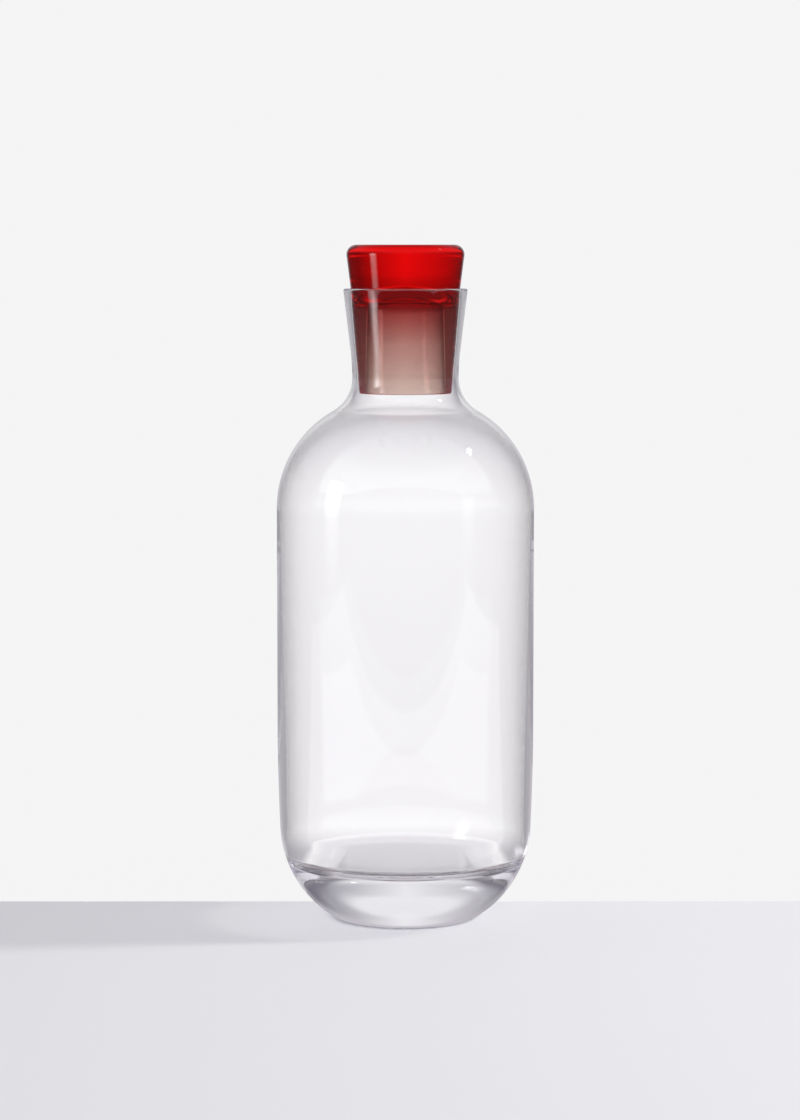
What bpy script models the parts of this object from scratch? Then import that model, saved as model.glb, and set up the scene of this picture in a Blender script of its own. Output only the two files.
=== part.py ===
# A blown glass carafe bottle and the glass stopper that drops into its tapered neck.
# Lengths are in metres, angles in degrees, and +Z is up. The origin is on the bottle's axis,
# in the plane that the bottle stands on. Both pieces are turned from an outline of (radius, height).
from math import acos, atan, atan2, ceil, cos, degrees, hypot, radians, sin, sqrt, tan

import bpy
from mathutils import Vector

# Bottle, outside
BODY_RADIUS = 0.0475          # the straight part of the wall
RIM_HEIGHT = 0.2335           # standing plane to the top of the mouth
NECK_LENGTH = 0.0328          # rim down to the waist, where the neck is narrowest
NECK_FLARE_RADIUS = 0.0840    # long hollow curve from the waist up into the flare
NECK_ROOT_RADIUS = 0.0140     # hollow curve from the waist out to the shoulder
SHOULDER_HEIGHT = 0.0480      # waist down to the top of the straight wall
WALL_EASE_RADIUS = 0.9000     # slow curve from the wall into the heel
WALL_EASE_ANGLE = 2.6         # how far that curve turns under
HEEL_ANGLE = 57.0             # how far the heel has turned under where the foot's rounding starts
FOOT_ROUNDING = 0.0084
FOOT_RADIUS = 0.0235          # outer edge of the flat ring that the bottle stands on
FOOT_RING_WIDTH = 0.0035
PUNT_DEPTH = 0.0012           # hollow under the base, inside that ring

# Bottle, inside
MOUTH_RADIUS = 0.02045        # the seat at the rim
RIM_WALL = 0.00245            # glass at the rim
RIM_ROUNDING = 0.0006
SEAT_ANGLE = 4.8              # slope of the conical seat and of the plug
WAIST_WALL = 0.0019           # glass at the waist
THROAT_RISE = 0.0005          # the inside opens out from this much above the waist
UPPER_WALL = 0.0009           # glass at the top of the straight wall, the thinnest place
LOWER_WALL = 0.0026           # glass where the wall starts to turn under
HEEL_WALL = 0.0012            # glass between the heel and the rounded edge of the floor
FLOOR_ROUNDING = 0.0035       # that edge, between the floor and the wall
FLOOR_DISH = 0.0030           # how far the middle of the floor lies below its edge

# Stopper
SEAT_CLEARANCE = 0.0003       # between the plug and the seat, square to the slope
HEAD_HEIGHT = 0.0161          # above the bottle's rim
HEAD_FLARE_ANGLE = 7.1        # slope of the head's side
HEAD_ROUNDING = 0.0036
PLUG_LENGTH = 0.0386          # below the bottle's rim
PLUG_WALL = 0.0021            # glass at the plug's open end
LIP_ROUNDING = 0.0007         # edges of the open end
HOLLOW_TOP = 0.0020           # crown of the plug's hollow, above the bottle's rim
HOLLOW_ANGLE = 0.6            # slope of the hollow's side
DOME_RISE = 0.0090            # the hollow's domed top, half an ellipse, from its side to its crown

# Fineness of the facets
TURN_STEPS = 48               # facets round the axis
FACET_DEPTH = 0.00006         # how far the chords of an outline's arc may cut inside it
DOME_STEPS = 10               # facets from the side of the hollow's dome to its crown
LIP_SHARE = 0.45              # the most of a lip's wall that the rounding of one edge takes
MERGE_DISTANCE = 0.00001      # joins the points that meet on the axis

# Finish
CLEAR_GLASS = (0.93, 0.94, 0.95, 1.0)
RED_GLASS = (0.72, 0.02, 0.03, 1.0)
GLASS_ROUGHNESS = 0.02
GLASS_IOR = 1.5


def arc(centre, radius, first, last):
    """Points on an arc from one angle to another, counted from outwards (0) to upwards (90)."""
    step = degrees(2 * acos(1 - min(1.0, FACET_DEPTH / radius)))
    count = max(2, ceil(abs(last - first) / step))
    angles = [radians(first + (last - first) * i / count) for i in range(count + 1)]
    return [(centre[0] + radius * cos(a), centre[1] + radius * sin(a)) for a in angles]


def rounded(before, corner, after, radius):
    """The arc that rounds off a corner between two straight runs of an outline."""
    corner = Vector(corner)
    back = (Vector(before) - corner).normalized()
    ahead = (Vector(after) - corner).normalized()
    half = back.angle(ahead) / 2
    centre = corner + (back + ahead).normalized() * (radius / sin(half))
    run = radius / tan(half)
    start = corner + back * run - centre
    end = corner + ahead * run - centre
    first = degrees(atan2(start.y, start.x))
    turn = (degrees(atan2(end.y, end.x)) - first + 180.0) % 360.0 - 180.0
    return arc(centre, radius, first, first + turn)


def rounded_lip(before, first_corner, second_corner, after, radius):
    """Both edges of a rim, with the rounding kept within the glass."""
    wall = (Vector(second_corner) - Vector(first_corner)).length
    edge = min(radius, LIP_SHARE * wall)
    return (rounded(before, first_corner, second_corner, edge)
            + rounded(first_corner, second_corner, after, edge))


# Heights, radii and slope that the neck, the shoulder and the plug share
seat_slope = tan(radians(SEAT_ANGLE))
rim_r = MOUTH_RADIUS + RIM_WALL
waist_z = RIM_HEIGHT - NECK_LENGTH
waist_r = MOUTH_RADIUS - seat_slope * NECK_LENGTH + WAIST_WALL
wall_top_z = waist_z - SHOULDER_HEIGHT
throat_z = waist_z + THROAT_RISE
neck_root_r = waist_r + NECK_ROOT_RADIUS


def shoulder_arcs(wall_r, root_z, root_radius, wall_angle, root_angle):
    """The shoulder from the wall up, and the hollow curve of the neck's root that it runs into."""
    reach = wall_r - neck_root_r
    rise = root_z - wall_top_z
    radius = (reach ** 2 + rise ** 2 - root_radius ** 2) / (2 * (reach + root_radius))
    centre = (wall_r - radius, wall_top_z)
    meet = degrees(atan2(rise, neck_root_r - centre[0]))
    shoulder = arc(centre, radius, wall_angle, meet)
    root = arc((neck_root_r, root_z), root_radius, 180.0 + meet, root_angle)
    return shoulder[:-1] + root


def below_level(angle):
    """The direction that points outwards and down by an angle."""
    return Vector((cos(radians(angle)), -sin(radians(angle))))


# The outside of the heel, whose three arcs run on from each other between the wall and the foot
ease_way = below_level(WALL_EASE_ANGLE)
heel_way = below_level(HEEL_ANGLE)
heel_radius = (BODY_RADIUS - FOOT_RADIUS - FOOT_ROUNDING * heel_way.x
               - WALL_EASE_RADIUS * (1 - ease_way.x)) / (ease_way.x - heel_way.x)
foot_centre = Vector((FOOT_RADIUS, FOOT_ROUNDING))
heel_centre = foot_centre - heel_way * (heel_radius - FOOT_ROUNDING)
ease_centre = heel_centre - ease_way * (WALL_EASE_RADIUS - heel_radius)


def heel_outside():
    """From the wall down to the foot: a slow curve, the heel and the foot's rounding."""
    return (arc(ease_centre, WALL_EASE_RADIUS, 0.0, -WALL_EASE_ANGLE)[:-1]
            + arc(heel_centre, heel_radius, -WALL_EASE_ANGLE, -HEEL_ANGLE)[:-1]
            + arc(foot_centre, FOOT_ROUNDING, -HEEL_ANGLE, -90.0))


def floor_inside(lean):
    """From the middle of the floor, a shallow bowl, round its edge and up to the wall."""
    up_wall = Vector((sin(lean), cos(lean)))
    start = Vector((BODY_RADIUS - LOWER_WALL - FLOOR_ROUNDING / cos(lean), ease_centre.y))
    # The edge's centre slides down beside the wall until the heel has its glass.
    way = start - heel_centre
    along = way.dot(up_wall)
    room = heel_radius - HEEL_WALL - FLOOR_ROUNDING
    edge = start - up_wall * (along + sqrt(along ** 2 - way.length_squared + room ** 2))
    rise = FLOOR_ROUNDING + FLOOR_DISH
    bowl_radius = (edge.x ** 2 + rise ** 2 - FLOOR_ROUNDING ** 2) / (2 * FLOOR_DISH)
    bowl = (0.0, edge.y - rise + bowl_radius)
    meet = degrees(atan2(edge.y - bowl[1], edge.x))
    return (arc(bowl, bowl_radius, -90.0, meet)[:-1]
            + arc(edge, FLOOR_ROUNDING, meet, -degrees(lean)))


def neck_outside():
    """The flare from the rim down to the waist."""
    centre = (waist_r + NECK_FLARE_RADIUS, waist_z)
    out, up = rim_r - centre[0], RIM_HEIGHT - centre[1]
    touch = degrees(atan2(up, out) + acos(NECK_FLARE_RADIUS / hypot(out, up)))
    return arc(centre, NECK_FLARE_RADIUS, touch, 180.0)


def punt():
    """The hollow under the base, a shallow dome inside the foot ring."""
    punt_r = FOOT_RADIUS - FOOT_RING_WIDTH
    radius = (punt_r ** 2 + PUNT_DEPTH ** 2) / (2 * PUNT_DEPTH)
    centre = (0.0, PUNT_DEPTH - radius)
    edge = degrees(atan2(-centre[1], punt_r))
    return arc(centre, radius, edge, 90.0)


def bottle_outline():
    """From the middle of the inside floor up to the rim and down the outside to the punt."""
    lean = atan((LOWER_WALL - UPPER_WALL) / (wall_top_z - ease_centre.y))
    throat_r = waist_r - WAIST_WALL + seat_slope * THROAT_RISE
    throat_radius = (neck_root_r - throat_r) * cos(radians(SEAT_ANGLE))
    inside = shoulder_arcs(BODY_RADIUS - UPPER_WALL, throat_z, throat_radius,
                           -degrees(lean), 180.0 - SEAT_ANGLE)
    outside = shoulder_arcs(BODY_RADIUS, waist_z, NECK_ROOT_RADIUS, 0.0, 180.0)
    neck = neck_outside()
    rim = rounded_lip(inside[-1], (MOUTH_RADIUS, RIM_HEIGHT), (rim_r, RIM_HEIGHT), neck[0], RIM_ROUNDING)
    return (floor_inside(lean) + inside + rim + neck[:-1]
            + outside[::-1] + heel_outside() + punt())


def stopper_outline():
    """From the middle of the top down the outside, round the open end and up into the hollow."""
    rim_plane = (MOUTH_RADIUS - SEAT_CLEARANCE / cos(radians(SEAT_ANGLE)), 0.0)
    top = (0.0, HEAD_HEIGHT)
    head = (rim_plane[0] + HEAD_HEIGHT * tan(radians(HEAD_FLARE_ANGLE)), HEAD_HEIGHT)
    end_outer = (rim_plane[0] - PLUG_LENGTH * seat_slope, -PLUG_LENGTH)
    end_inner = (end_outer[0] - PLUG_WALL, -PLUG_LENGTH)
    dome_z = HOLLOW_TOP - DOME_RISE
    dome_r = end_inner[0] - (PLUG_LENGTH + dome_z) * tan(radians(HOLLOW_ANGLE))
    turns = [radians(90.0 * i / DOME_STEPS) for i in range(DOME_STEPS + 1)]
    dome = [(dome_r * cos(t), dome_z + DOME_RISE * sin(t)) for t in turns]
    return ([top] + rounded(top, head, rim_plane, HEAD_ROUNDING) + [rim_plane]
            + rounded_lip(rim_plane, end_outer, end_inner, dome[0], LIP_ROUNDING) + dome)


def glass(name, colour):
    """A smooth clear or coloured glass."""
    material = bpy.data.materials.new(name)
    material.use_nodes = True
    shader = material.node_tree.nodes["Principled BSDF"]
    shader.inputs["Base Color"].default_value = colour
    shader.inputs["Metallic"].default_value = 0.0
    shader.inputs["Roughness"].default_value = GLASS_ROUGHNESS
    shader.inputs["IOR"].default_value = GLASS_IOR
    shader.inputs["Transmission Weight"].default_value = 1.0
    return material


def turned(name, outline, material, height, parent):
    """A solid of revolution about Z, from an outline that runs down its outer side."""
    mesh = bpy.data.meshes.new(name)
    edges = [(i, i + 1) for i in range(len(outline) - 1)]
    mesh.from_pydata([(r, 0.0, z) for r, z in outline], edges, [])
    mesh.materials.append(material)
    piece = bpy.data.objects.new(name, mesh)
    piece.location.z = height
    piece.parent = parent
    bpy.context.scene.collection.objects.link(piece)
    screw = piece.modifiers.new("Turn", "SCREW")
    screw.axis = "Z"
    screw.steps = TURN_STEPS
    screw.render_steps = TURN_STEPS
    screw.use_merge_vertices = True
    screw.merge_threshold = MERGE_DISTANCE
    screw.use_smooth_shade = True
    return piece


for old in list(bpy.data.objects):
    bpy.data.objects.remove(old)

carafe = bpy.data.objects.new("carafe", None)
bpy.context.scene.collection.objects.link(carafe)
turned("bottle", bottle_outline(), glass("clear_glass", CLEAR_GLASS), 0.0, carafe)
turned("stopper", stopper_outline(), glass("red_glass", RED_GLASS), RIM_HEIGHT, carafe)
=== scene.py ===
import math

import bpy
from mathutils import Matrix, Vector


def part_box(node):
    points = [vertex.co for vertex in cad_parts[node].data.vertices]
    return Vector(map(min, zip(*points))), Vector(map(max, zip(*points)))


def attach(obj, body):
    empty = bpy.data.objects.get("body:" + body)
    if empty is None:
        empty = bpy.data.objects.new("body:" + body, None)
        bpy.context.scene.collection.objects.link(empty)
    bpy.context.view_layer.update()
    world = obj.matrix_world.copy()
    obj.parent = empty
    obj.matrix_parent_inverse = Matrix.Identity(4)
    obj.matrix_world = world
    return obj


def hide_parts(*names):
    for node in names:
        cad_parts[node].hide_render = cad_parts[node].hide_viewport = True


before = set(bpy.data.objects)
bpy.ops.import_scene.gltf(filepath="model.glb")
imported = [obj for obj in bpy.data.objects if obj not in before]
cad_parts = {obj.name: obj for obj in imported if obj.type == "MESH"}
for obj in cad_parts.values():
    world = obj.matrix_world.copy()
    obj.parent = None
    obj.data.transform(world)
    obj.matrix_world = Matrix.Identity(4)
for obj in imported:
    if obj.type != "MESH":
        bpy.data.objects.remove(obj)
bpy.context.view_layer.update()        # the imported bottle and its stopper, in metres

print("stage 1: frame loaded, nodes", sorted(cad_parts))


# drawing an outline and turning it

turning = {
    "sides": 192,            # faces round the axis
    "arcDepth": 0.000004,    # how far an arc's chords may cut inside it
    "longestRun": 0.006,     # straight runs are cut into pieces no longer than this
    "mergeGap": 0.000002,    # joins the seam and the points on the axis
    "fewestSteps": 3,        # on the shortest arcs
    "seedSize": 0.001,       # the plane that each outline grows from
}


def arcPoints(centre, radius, first, last):
    # angles in degrees, 0 is outwards and 90 is up
    step = math.degrees(2 * math.acos(1 - turning["arcDepth"] / radius))
    count = max(turning["fewestSteps"], math.ceil(abs(last - first) / step))
    angles = [math.radians(first + (last - first) * i / count) for i in range(count + 1)]
    return [(centre[0] + radius * math.cos(a), centre[1] + radius * math.sin(a)) for a in angles]


def roundedCorner(before, corner, after, radius):
    corner = Vector(corner)
    back = (Vector(before) - corner).normalized()
    ahead = (Vector(after) - corner).normalized()
    half = back.angle(ahead) / 2
    centre = corner + (back + ahead).normalized() * (radius / math.sin(half))
    run = radius / math.tan(half)
    start = corner + back * run - centre
    end = corner + ahead * run - centre
    first = math.degrees(math.atan2(start.y, start.x))
    turn = (math.degrees(math.atan2(end.y, end.x)) - first + 180) % 360 - 180
    return arcPoints(centre, radius, first, first + turn)


def cutLongRuns(points):
    cut = [Vector(points[0])]
    for point in points[1:]:
        run = Vector(point) - cut[-1]
        start = cut[-1]
        count = max(1, math.ceil(run.length / turning["longestRun"]))
        cut += [start + run * i / count for i in range(1, count + 1)]
    return cut


def turnOutline(name, points):
    # a small plane shrinks to the first point, the outline is pulled out of it and then spun
    points = cutLongRuns(points)
    bpy.ops.object.select_all(action="DESELECT")
    bpy.ops.mesh.primitive_plane_add(size=turning["seedSize"], location=(0, 0, 0))
    piece = bpy.context.object
    piece.name = name
    piece.data.name = name
    bpy.ops.object.mode_set(mode="EDIT")
    bpy.ops.mesh.select_all(action="SELECT")
    bpy.ops.mesh.merge(type="CENTER")
    bpy.ops.transform.translate(value=(points[0].x, 0, points[0].y))
    for start, end in zip(points, points[1:]):
        step = (end.x - start.x, 0, end.y - start.y)
        bpy.ops.mesh.extrude_vertices_move(TRANSFORM_OT_translate={"value": step})
    bpy.ops.mesh.select_all(action="SELECT")
    bpy.ops.mesh.spin(steps=turning["sides"], angle=math.tau, center=(0, 0, 0), axis=(0, 0, 1))
    bpy.ops.mesh.select_all(action="SELECT")
    bpy.ops.mesh.remove_doubles(threshold=turning["mergeGap"])
    bpy.ops.mesh.normals_make_consistent(inside=False)
    bpy.ops.object.mode_set(mode="OBJECT")
    bpy.ops.object.shade_smooth()
    return piece


# bottle of clear glass

bottleShape = {
    "bodyRadius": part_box("bottle")[1].x,
    "rimHeight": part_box("bottle")[1].z,
    "neckLength": 0.0328,        # rim to waist
    "neckFlareRadius": 0.0840,
    "neckRootRadius": 0.0140,
    "shoulderHeight": 0.0480,    # waist to the top of the straight wall
    "easeRadius": 0.9000,        # slow curve from the wall into the heel
    "easeAngle": 2.6,
    "heelAngle": 57.0,
    "footRounding": 0.0084,
    "footRadius": 0.0235,
    "footRingWidth": 0.0035,
    "puntDepth": 0.0012,
    "mouthRadius": 0.02045,
    "rimWall": 0.00245,
    "rimRounding": 0.0006,
    "seatAngle": 4.8,            # the plug follows it
    "waistWall": 0.0019,
    "throatRise": 0.0005,        # the inside opens out above the waist
    "upperWall": 0.0009,
    "lowerWall": 0.0026,
    "floorEdgeHeight": 0.0249,   # where the inside wall starts to turn into the floor
    "floorEdgeRounding": 0.0035,
    "baseThickness": 0.0184,     # at the middle, foot plane to floor
}


def downBy(angle):
    return Vector((math.cos(math.radians(angle)), -math.sin(math.radians(angle))))


def bottleOutline(b):
    # heights and radii that the inside and the outside share
    slope = math.tan(math.radians(b["seatAngle"]))
    rimRadius = b["mouthRadius"] + b["rimWall"]
    waistZ = b["rimHeight"] - b["neckLength"]
    waistR = b["mouthRadius"] - slope * b["neckLength"] + b["waistWall"]
    wallTopZ = waistZ - b["shoulderHeight"]
    rootR = waistR + b["neckRootRadius"]

    def shoulder(wallR, rootZ, rootRadius, wallAngle, rootAngle):
        # round shoulder, then the hollow curve at the neck's root
        reach, rise = wallR - rootR, rootZ - wallTopZ
        radius = (reach ** 2 + rise ** 2 - rootRadius ** 2) / (2 * (reach + rootRadius))
        centre = (wallR - radius, wallTopZ)
        meet = math.degrees(math.atan2(rise, rootR - centre[0]))
        return (arcPoints(centre, radius, wallAngle, meet)[:-1]
                + arcPoints((rootR, rootZ), rootRadius, 180 + meet, rootAngle))

    # heel: slow curve, heel and foot run on from each other
    easeWay, heelWay = downBy(b["easeAngle"]), downBy(b["heelAngle"])
    heelRadius = (b["bodyRadius"] - b["footRadius"] - b["footRounding"] * heelWay.x
                  - b["easeRadius"] * (1 - easeWay.x)) / (easeWay.x - heelWay.x)
    foot = Vector((b["footRadius"], b["footRounding"]))
    heel = foot - heelWay * (heelRadius - b["footRounding"])
    ease = heel - easeWay * (b["easeRadius"] - heelRadius)
    heelOutside = (arcPoints(ease, b["easeRadius"], 0, -b["easeAngle"])[:-1]
                   + arcPoints(heel, heelRadius, -b["easeAngle"], -b["heelAngle"])[:-1]
                   + arcPoints(foot, b["footRounding"], -b["heelAngle"], -90))

    # inside: the wall leans in, and a tight curve leads into a floor like a shallow bowl
    lean = math.atan((b["lowerWall"] - b["upperWall"]) / (wallTopZ - ease.y))
    wallR = b["bodyRadius"] - b["lowerWall"] - math.tan(lean) * (ease.y - b["floorEdgeHeight"])
    edge = (wallR - b["floorEdgeRounding"] / math.cos(lean), b["floorEdgeHeight"])
    rise = edge[1] - b["baseThickness"]
    dish = rise - b["floorEdgeRounding"]
    bowlRadius = (edge[0] ** 2 + rise ** 2 - b["floorEdgeRounding"] ** 2) / (2 * dish)
    bowl = (0, b["baseThickness"] + bowlRadius)
    meetFloor = math.degrees(math.atan2(edge[1] - bowl[1], edge[0]))
    heelInside = (arcPoints(bowl, bowlRadius, -90, meetFloor)[:-1]
                  + arcPoints(edge, b["floorEdgeRounding"], meetFloor, -math.degrees(lean)))

    # neck: seat inside, flare outside, rounded rim between them
    throatZ = waistZ + b["throatRise"]
    throatR = waistR - b["waistWall"] + slope * b["throatRise"]
    throatRadius = (rootR - throatR) * math.cos(math.radians(b["seatAngle"]))
    inside = shoulder(b["bodyRadius"] - b["upperWall"], throatZ, throatRadius,
                      -math.degrees(lean), 180 - b["seatAngle"])
    outside = shoulder(b["bodyRadius"], waistZ, b["neckRootRadius"], 0, 180)
    flare = (waistR + b["neckFlareRadius"], waistZ)
    out, up = rimRadius - flare[0], b["neckLength"]
    touch = math.degrees(math.atan2(up, out) + math.acos(b["neckFlareRadius"] / math.hypot(out, up)))
    neck = arcPoints(flare, b["neckFlareRadius"], touch, 180)
    mouthEdge = (b["mouthRadius"], b["rimHeight"])
    outerEdge = (rimRadius, b["rimHeight"])
    rim = (roundedCorner(inside[-1], mouthEdge, outerEdge, b["rimRounding"])
           + roundedCorner(mouthEdge, outerEdge, neck[0], b["rimRounding"]))

    # shallow dome under the base
    puntR = b["footRadius"] - b["footRingWidth"]
    domeRadius = (puntR ** 2 + b["puntDepth"] ** 2) / (2 * b["puntDepth"])
    domeZ = b["puntDepth"] - domeRadius
    punt = arcPoints((0, domeZ), domeRadius, math.degrees(math.atan2(-domeZ, puntR)), 90)

    return heelInside + inside + rim + neck[:-1] + outside[::-1] + heelOutside + punt


bottleGlass = turnOutline("bottleGlass", bottleOutline(bottleShape))
print("stage 2: bottle turned,", len(bottleGlass.data.polygons), "faces")


# stopper of red glass

stopperShape = {
    "topHeight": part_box("stopper")[1].z,
    "endHeight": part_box("stopper")[0].z,
    "seatClearance": 0.0003,
    "headFlareAngle": 7.1,
    "headRounding": 0.0036,
    "plugWall": 0.0021,
    "lipRounding": 0.0007,
    "hollowTop": 0.0020,         # crown of the hollow, above the bottle's rim
    "hollowAngle": 0.6,
    "domeRise": 0.0090,          # the hollow's top is half an ellipse
    "domeSteps": 24,
}


def stopperOutline(s, b):
    rimZ = b["rimHeight"]
    seat = math.radians(b["seatAngle"])
    rimPlane = (b["mouthRadius"] - s["seatClearance"] / math.cos(seat), rimZ)
    top = (0, s["topHeight"])
    flare = math.tan(math.radians(s["headFlareAngle"]))
    head = (rimPlane[0] + (s["topHeight"] - rimZ) * flare, s["topHeight"])
    endOuter = (rimPlane[0] - (rimZ - s["endHeight"]) * math.tan(seat), s["endHeight"])
    endInner = (endOuter[0] - s["plugWall"], s["endHeight"])
    domeZ = rimZ + s["hollowTop"] - s["domeRise"]
    domeR = endInner[0] - (domeZ - s["endHeight"]) * math.tan(math.radians(s["hollowAngle"]))
    turns = [math.radians(90 * i / s["domeSteps"]) for i in range(s["domeSteps"] + 1)]
    dome = [(domeR * math.cos(t), domeZ + s["domeRise"] * math.sin(t)) for t in turns]
    return ([top] + roundedCorner(top, head, rimPlane, s["headRounding"]) + [rimPlane]
            + roundedCorner(rimPlane, endOuter, endInner, s["lipRounding"])
            + roundedCorner(endOuter, endInner, dome[0], s["lipRounding"]) + dome)


stopperGlass = turnOutline("stopperGlass", stopperOutline(stopperShape, bottleShape))
print("stage 3: stopper turned,", len(stopperGlass.data.polygons), "faces")


# glass finishes

clearLook = {
    "tint": (1.0, 1.0, 1.0, 1.0),
    "ior": 1.5,
    "roughness": 0.0,
    "absorbColour": (0.80, 0.76, 0.86, 1.0),
    "absorbDensity": 3.0,          # per metre
    "shadowTints": (               # light that passes to the table, by height; dark where the foot stands
        (0.0, (0.10, 0.095, 0.14, 1.0)),
        (0.0006, (0.10, 0.095, 0.14, 1.0)),
        (0.0010, (1.0, 1.0, 1.0, 1.0)),
        (0.026, (1.0, 1.0, 1.0, 1.0)),
        (0.036, (0.925, 0.925, 0.93, 1.0)),
        (bottleShape["rimHeight"], (0.925, 0.925, 0.93, 1.0)),
    ),
    "waverScale": 20.0,            # slow waves of blown glass, per metre
    "waverHeight": 0.00002,
    "waverDetail": 1.0,
}
redLook = {
    "tintsAndPaintedShade": (                     # height, and the colour there: pale low in the plug and duskier up it, then painted shade, darkest in a band just under the bottle's rim and dark in the head's lower part where refraction shades it, up to the glass's own red at the top
        (stopperShape["endHeight"], (0.88, 0.87, 0.82, 1.0)),
        (0.2140, (0.76, 0.66, 0.62, 1.0)),
        (0.2260, (0.62, 0.31, 0.30, 1.0)),
        (0.2285, (0.42, 0.07, 0.07, 1.0)),
        (0.2320, (0.50, 0.03, 0.035, 1.0)),
        (0.2356, (0.62, 0.015, 0.02, 1.0)),
        (0.2400, (0.95, 0.02, 0.03, 1.0)),
        (stopperShape["topHeight"], (1.0, 0.02, 0.03, 1.0)),
    ),
    "ior": 1.5,
    "roughness": 0.0,
    "absorbColour": (0.98, 0.40, 0.36, 1.0),
    "absorbDensity": 100.0,
    "shadowTint": (0.88, 0.84, 0.84, 1.0),
    "waverScale": 60.0,
    "waverHeight": 0.00005,
    "waverDetail": 1.0,
}


def tintedByHeight(nodes, links, place, tintsAndPaintedShade):
    # a ramp along the piece's own height, from the first to the last of the tints
    low, high = tintsAndPaintedShade[0][0], tintsAndPaintedShade[-1][0]
    parts = nodes.new("ShaderNodeSeparateXYZ")
    along = nodes.new("ShaderNodeMapRange")
    along.inputs["From Min"].default_value = low
    along.inputs["From Max"].default_value = high
    ramp = nodes.new("ShaderNodeValToRGB")
    for i, (height, colour) in enumerate(tintsAndPaintedShade):
        share = (height - low) / (high - low)
        stop = ramp.color_ramp.elements[i] if i < 2 else ramp.color_ramp.elements.new(share)
        stop.position = share
        stop.color = colour
    links.new(place.outputs["Object"], parts.inputs["Vector"])
    links.new(parts.outputs["Z"], along.inputs["Value"])
    links.new(along.outputs["Result"], ramp.inputs["Fac"])
    return ramp.outputs["Color"]


def glassFinish(name, look):
    finish = bpy.data.materials.new(name)
    finish.use_nodes = True
    nodes, links = finish.node_tree.nodes, finish.node_tree.links
    output = nodes["Material Output"]
    glass = nodes["Principled BSDF"]
    glass.inputs["Roughness"].default_value = look["roughness"]
    glass.inputs["IOR"].default_value = look["ior"]
    glass.inputs["Transmission Weight"].default_value = 1.0
    place = nodes.new("ShaderNodeTexCoord")
    # base colour: one tint, or a ramp by height, which for the stopper holds painted shade as well as the
    # glass's colour
    if "tint" in look:
        glass.inputs["Base Color"].default_value = look["tint"]
    else:
        links.new(tintedByHeight(nodes, links, place, look["tintsAndPaintedShade"]), glass.inputs["Base Color"])
    # slow waves in the surface
    waver = nodes.new("ShaderNodeTexNoise")
    waver.inputs["Scale"].default_value = look["waverScale"]
    waver.inputs["Detail"].default_value = look["waverDetail"]
    bump = nodes.new("ShaderNodeBump")
    bump.inputs["Strength"].default_value = 1.0
    bump.inputs["Distance"].default_value = look["waverHeight"]
    links.new(place.outputs["Object"], waver.inputs["Vector"])
    links.new(waver.outputs["Fac"], bump.inputs["Height"])
    links.new(bump.outputs["Normal"], glass.inputs["Normal"])
    # light passes to the floor, so that glass throws a light shadow
    path = nodes.new("ShaderNodeLightPath")
    passing = nodes.new("ShaderNodeBsdfTransparent")
    if "shadowTint" in look:
        passing.inputs["Color"].default_value = look["shadowTint"]
    else:
        links.new(tintedByHeight(nodes, links, place, look["shadowTints"]), passing.inputs["Color"])
    mixed = nodes.new("ShaderNodeMixShader")
    links.new(path.outputs["Is Shadow Ray"], mixed.inputs["Fac"])
    links.new(glass.outputs["BSDF"], mixed.inputs[1])
    links.new(passing.outputs["BSDF"], mixed.inputs[2])
    links.new(mixed.outputs["Shader"], output.inputs["Surface"])
    # colour comes from the depth of the glass
    depth = nodes.new("ShaderNodeVolumeAbsorption")
    depth.inputs["Color"].default_value = look["absorbColour"]
    depth.inputs["Density"].default_value = look["absorbDensity"]
    links.new(depth.outputs["Volume"], output.inputs["Volume"])
    return finish


bottleGlass.data.materials.clear()
bottleGlass.data.materials.append(glassFinish("clearGlass", clearLook))
stopperGlass.data.materials.clear()
stopperGlass.data.materials.append(glassFinish("redGlass", redLook))
print("stage 4: glass finishes made")


# pieces take the CAD nodes' places

for piece, node, slot in ((bottleGlass, "bottle", "clear_glass"), (stopperGlass, "stopper", "red_glass")):
    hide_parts(node)
    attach(piece, node)
print("stage 5: pieces ride on their bodies")


# table, whose back edge is just behind the bottle

tableSet = {
    "width": 1.4,
    "backEdge": 0.029,
    "frontEdge": -0.45,
    "thickness": 0.04,
    "edgeRounding": 0.002,
    "edgeSteps": 4,
    "smoothAngle": 40,       # degrees
    "colour": (0.75, 0.75, 0.78, 1.0),
    "roughness": 0.6,
    "specular": 0.2,
}


def layTable(t):
    bpy.ops.object.select_all(action="DESELECT")
    depth = t["backEdge"] - t["frontEdge"]
    bpy.ops.mesh.primitive_cube_add(size=1, location=(0, t["backEdge"] - depth / 2, -t["thickness"] / 2))
    table = bpy.context.object
    table.name = "table"
    table.scale = (t["width"], depth, t["thickness"])
    bpy.ops.object.transform_apply(location=True, rotation=False, scale=True)
    bpy.ops.object.mode_set(mode="EDIT")
    bpy.ops.mesh.select_all(action="SELECT")
    bpy.ops.mesh.bevel(offset=t["edgeRounding"], segments=t["edgeSteps"], affect="EDGES")
    bpy.ops.object.mode_set(mode="OBJECT")
    bpy.ops.object.shade_smooth_by_angle(angle=math.radians(t["smoothAngle"]))
    paint = bpy.data.materials.new("tablePaint")
    paint.use_nodes = True
    surface = paint.node_tree.nodes["Principled BSDF"]
    surface.inputs["Base Color"].default_value = t["colour"]
    surface.inputs["Roughness"].default_value = t["roughness"]
    surface.inputs["Specular IOR Level"].default_value = t["specular"]
    table.data.materials.append(paint)
    table.visible_glossy = False    # the glass mirrors the room, not the table
    return table


layTable(tableSet)
print("stage 6: table laid")


# studio: a pale room for the eye and through the glass, a darker one for what the glass mirrors;
# ranges are two values between which one colour turns into the next

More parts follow.
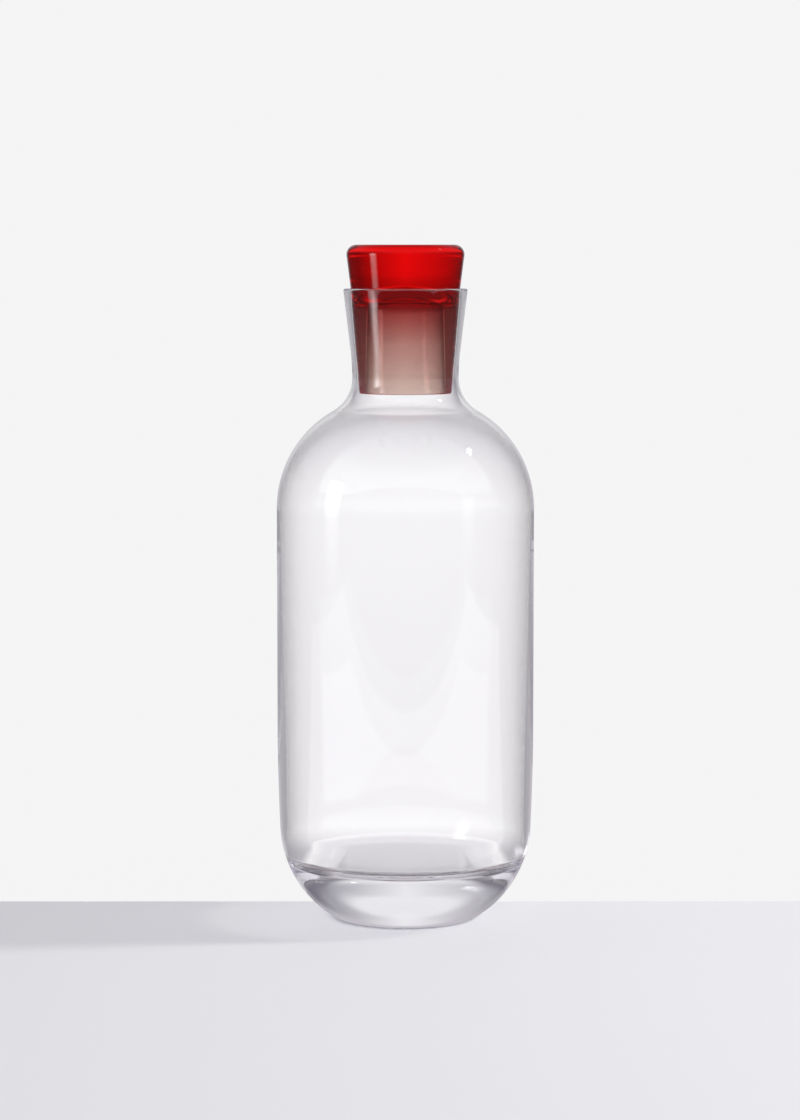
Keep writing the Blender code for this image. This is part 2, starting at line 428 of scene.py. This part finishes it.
studioSet = {
    # seen with no glass in front
    "backdrop": (0.91, 0.91, 0.91, 1.0),
    "ambient": (0.30, 0.30, 0.30, 1.0),        # what the room itself throws on the table
    # through two walls of glass, by the height of the direction
    "throughWalls": (1.07, 1.06, 1.08, 1.0),
    "lowBackdrop": (0.88, 0.86, 0.90, 1.0),    # further down, seen through the heel
    "lowRange": (-0.09, -0.30),
    "highBackdrop": (0.62, 0.60, 0.65, 1.0),   # further up, seen through the shoulder
    "highRange": (-0.08, 0.10),
    # through solid glass: a bright panel behind, with dark on both sides of it
    "panelBright": (0.93, 0.93, 0.94, 1.0),
    "panelDim": (0.22, 0.21, 0.26, 1.0),
    "panelEdge": (0.93, 0.80),                 # cosine of the turn from straight back
    "panelFade": (0.68, -0.96),                # low down it fades to both sides instead, sine of the turn
    "panelLift": (0.17, 0.26),                 # heights between the two
    "panelEnd": (-0.10, 0.15),                 # the dark ends beside the object
    "panelFoot": (-0.16, -0.06),               # and under the table's level
    # through the neck and the plug
    "throughPlug": (1.0, 1.0, 1.0, 1.0),
    "besidePlug": (0.22, 0.20, 0.20, 1.0),
    "plugFade": (0.55, -0.55),                 # sine of the turn where it has faded
    "plugEnd": (0.68, 0.58),                   # and where it is bright again
    # mirrored by the first surface
    "front": (0.04, 0.037, 0.04, 1.0),
    "grazing": (0.50, 0.48, 0.52, 1.0),        # along its outline
    "grazingRange": (0.86, 0.98),
    "overhead": (0.20, 0.195, 0.21, 1.0),      # where it looks up
    "overheadRange": (0.05, 0.60),
    "zenith": (0.10, 0.10, 0.11, 1.0),         # and steeply up
    "zenithRange": (0.60, 0.85),
    # mirrored deeper in the glass
    "sides": (0.60, 0.58, 0.62, 1.0),          # inside a wall, from behind
    "sidesRange": (0.5, 1.0),
    "riseRange": (0.0, 0.06),                  # between falling and rising light
    "farLow": (0.05, 0.045, 0.05, 1.0),        # by a far wall, downwards
    "farHigh": (0.27, 0.26, 0.28, 1.0),        # by the floor, upwards
    "guided": (0.90, 0.89, 0.93, 1.0),         # twice or more in the base
    "guidedRange": (0.10, 0.50),
    "plugSides": (0.20, 0.11, 0.11, 1.0),      # in the stopper's plug
    # surfaces passed or mirrors met, a half more than the highest count that is left out
    "glassPasses": 0.5,
    "wallPasses": 3.5,
    "plugMirrorPasses": 5.5,
    "plugPasses": 7.5,
    "wallPeriod": 4,                           # surfaces of two walls
    "solidPasses": 1.5,                        # left over in that period after solid glass
    "oneMirror": 0.5,
    "twoMirrors": 1.5,
}


def lightStudio(s):
    world = bpy.data.worlds.new("studio")
    bpy.context.scene.world = world
    world.use_nodes = True
    nodes, links = world.node_tree.nodes, world.node_tree.links
    way = nodes.new("ShaderNodeTexCoord")
    parts = nodes.new("ShaderNodeSeparateXYZ")
    path = nodes.new("ShaderNodeLightPath")
    links.new(way.outputs["Generated"], parts.inputs["Vector"])
    x, y, z = (parts.outputs[axis] for axis in "XYZ")

    def maths(operation, *values):
        node = nodes.new("ShaderNodeMath")
        node.operation = operation
        for socket, value in zip(node.inputs, values):
            if isinstance(value, (int, float)):
                socket.default_value = value
            else:
                links.new(value, socket)
        return node.outputs["Value"]

    def blended(share, before, after):
        node = nodes.new("ShaderNodeMix")
        node.data_type = "RGBA"
        links.new(share, node.inputs["Factor"])
        for socket, colour in (("A", before), ("B", after)):
            if isinstance(colour, tuple):
                node.inputs[socket].default_value = colour
            else:
                links.new(colour, node.inputs[socket])
        return node.outputs["Result"]

    def eased(value, start, end, curve="SMOOTHSTEP"):
        node = nodes.new("ShaderNodeMapRange")
        node.interpolation_type = curve
        node.inputs["From Min"].default_value = start
        node.inputs["From Max"].default_value = end
        links.new(value, node.inputs["Value"])
        return node.outputs["Result"]

    def above(value, limit):
        return maths("GREATER_THAN", value, limit)

    # the backdrop is a bright panel, with dark on both sides of it above the table
    level = maths("SQRT", maths("SUBTRACT", 1, maths("MULTIPLY", z, z)))
    back = maths("DIVIDE", y, level)
    across = maths("DIVIDE", x, level)
    right, left = (eased(across, 0, end, "LINEAR") for end in s["panelFade"])
    lifted = eased(z, *s["panelLift"])
    beside = maths("ADD", maths("MULTIPLY", lifted, eased(back, *s["panelEdge"])),
                   maths("MULTIPLY", maths("SUBTRACT", 1, lifted), maths("ADD", right, left)))
    dimmed = maths("MULTIPLY", maths("MULTIPLY", beside, eased(back, *s["panelEnd"])),
                   eased(z, *s["panelFoot"]))
    panels = blended(dimmed, s["panelBright"], s["panelDim"])

    # straight through; two walls have four surfaces, so two left over mean solid glass
    passes, mirrors = path.outputs["Transmission Depth"], path.outputs["Glossy Depth"]
    crossedSolid = above(maths("MODULO", passes, s["wallPeriod"]), s["solidPasses"])
    walls = blended(eased(z, *s["lowRange"], "LINEAR"), s["throughWalls"], s["lowBackdrop"])
    walls = blended(eased(z, *s["highRange"], "LINEAR"), walls, s["highBackdrop"])
    plugRight, plugLeft = (eased(across, 0, end, "LINEAR") for end in s["plugFade"])
    plugDim = maths("MULTIPLY", maths("ADD", plugRight, plugLeft),
                    eased(maths("ABSOLUTE", across), *s["plugEnd"]))
    plug = blended(plugDim, s["throughPlug"], s["besidePlug"])
    walls = blended(above(passes, s["plugPasses"]), walls, plug)
    room = blended(path.outputs["Is Camera Ray"], s["ambient"], s["backdrop"])
    crossedGlass = above(passes, s["glassPasses"])
    straight = blended(crossedGlass, room, blended(crossedSolid, walls, panels))

    # mirrored by the first surface, inside a wall or the base, by a far wall, inside the plug
    front = blended(eased(back, *s["grazingRange"]), s["front"], s["grazing"])
    front = blended(eased(z, *s["overheadRange"]), front, s["overhead"])
    sides = blended(eased(back, *s["sidesRange"]), s["front"], s["sides"])
    rising = eased(z, *s["riseRange"])
    mirrored = blended(crossedGlass, front, blended(rising, sides, panels))
    upright = eased(z, *s["zenithRange"])
    mirrored = blended(upright, mirrored, s["zenith"])
    guided = maths("MULTIPLY", above(mirrors, s["twoMirrors"]), eased(back, *s["guidedRange"]))
    far = blended(guided, blended(rising, s["farLow"], s["farHigh"]), s["guided"])
    mirrored = blended(above(passes, s["wallPasses"]), mirrored, far)
    inPlug = blended(upright, s["plugSides"], s["front"])
    mirrored = blended(above(passes, s["plugMirrorPasses"]), mirrored, inPlug)
    seen = blended(above(mirrors, s["oneMirror"]), straight, mirrored)
    links.new(seen, nodes["Background"].inputs["Color"])


lightStudio(studioSet)


# softboxes; reach says which rays meet the lamp, and softEdge where its face fades in along X and Y

softboxes = {
    "leftStrip": {
        "place": (-0.317, -0.148, 0.135), "aim": (0, 0, 0.135), "size": (0.12, 0.36), "power": 0.80,
        "reach": "mirror",
        "softEdge": {"X": ((0, 0.4), (1, 0.6)), "Y": ((0.30, 0.95), (1, 0.97))},
    },
    "sparkle": {
        "place": (0.754, 0.024, 0.969), "aim": (0, 0, 0.10), "size": (0.07, 0.07), "power": 0.40,
        "reach": "mirror",
        "softEdge": {"X": ((0, 0.1), (1, 0.9)), "Y": ((0, 0.1), (1, 0.9))},
    },
    "keyRight": {
        "place": (2.68, 0.211, 2.907), "aim": (0, 0, 0.10), "size": (0.36, 0.36), "power": 173.0,
        "reach": "floor",
        "softEdge": None,
    },
}


def softenEdges(lamp, softEdge):
    # the fades along both axes are multiplied
    lamp.use_nodes = True
    nodes, links = lamp.node_tree.nodes, lamp.node_tree.links
    face = nodes.new("ShaderNodeNewGeometry")
    parts = nodes.new("ShaderNodeSeparateXYZ")
    links.new(face.outputs["Parametric"], parts.inputs["Vector"])
    strength = None
    for axis, fades in softEdge.items():
        for start, end in fades:
            fade = nodes.new("ShaderNodeMapRange")
            fade.interpolation_type = "SMOOTHSTEP"
            fade.inputs["From Min"].default_value = start
            fade.inputs["From Max"].default_value = end
            links.new(parts.outputs[axis], fade.inputs["Value"])
            if strength is None:
                strength = fade.outputs["Result"]
            else:
                both = nodes.new("ShaderNodeMath")
                both.operation = "MULTIPLY"
                links.new(strength, both.inputs[0])
                links.new(fade.outputs["Result"], both.inputs[1])
                strength = both.outputs["Value"]
    links.new(strength, nodes["Emission"].inputs["Strength"])


def hangSoftbox(name, s):
    lamp = bpy.data.lights.new(name, "AREA")
    lamp.shape = "RECTANGLE"
    lamp.size, lamp.size_y = s["size"]
    lamp.energy = s["power"]
    if s["softEdge"]:
        softenEdges(lamp, s["softEdge"])
    box = bpy.data.objects.new(name, lamp)
    bpy.context.scene.collection.objects.link(box)
    box.location = s["place"]
    box.rotation_euler = (Vector(s["aim"]) - Vector(s["place"])).to_track_quat("-Z", "Y").to_euler()
    box.visible_camera = False
    box.visible_diffuse = s["reach"] == "floor"
    box.visible_glossy = s["reach"] == "mirror"
    box.visible_transmission = s["reach"] == "mirror"


for name, settings in softboxes.items():
    hangSoftbox(name, settings)
print("stage 7: studio lit")


# camera at the photograph's angle

cameraSet = {
    "place": (-0.0020, -1.2587, 0.2496),
    "lookDown": 5.277,        # degrees
    "lens": 109.76,           # for the default 36 mm on the long side
}
view = bpy.data.cameras.new("photoView")
view.lens = cameraSet["lens"]
camera = bpy.data.objects.new("photoView", view)
bpy.context.scene.collection.objects.link(camera)
camera.location = cameraSet["place"]
camera.rotation_euler = (math.radians(90 - cameraSet["lookDown"]), 0, 0)
bpy.context.scene.camera = camera

# colours as they are written, and enough bounces for glass in glass and along a wall
bounces = {"all": 160, "glossy": 128, "transmission": 24, "transparent": 24}
scene = bpy.context.scene
scene.view_settings.view_transform = "Standard"
scene.cycles.max_bounces = bounces["all"]
scene.cycles.glossy_bounces = bounces["glossy"]
scene.cycles.transmission_bounces = bounces["transmission"]
scene.cycles.transparent_max_bounces = bounces["transparent"]
print("stage 8: camera set")
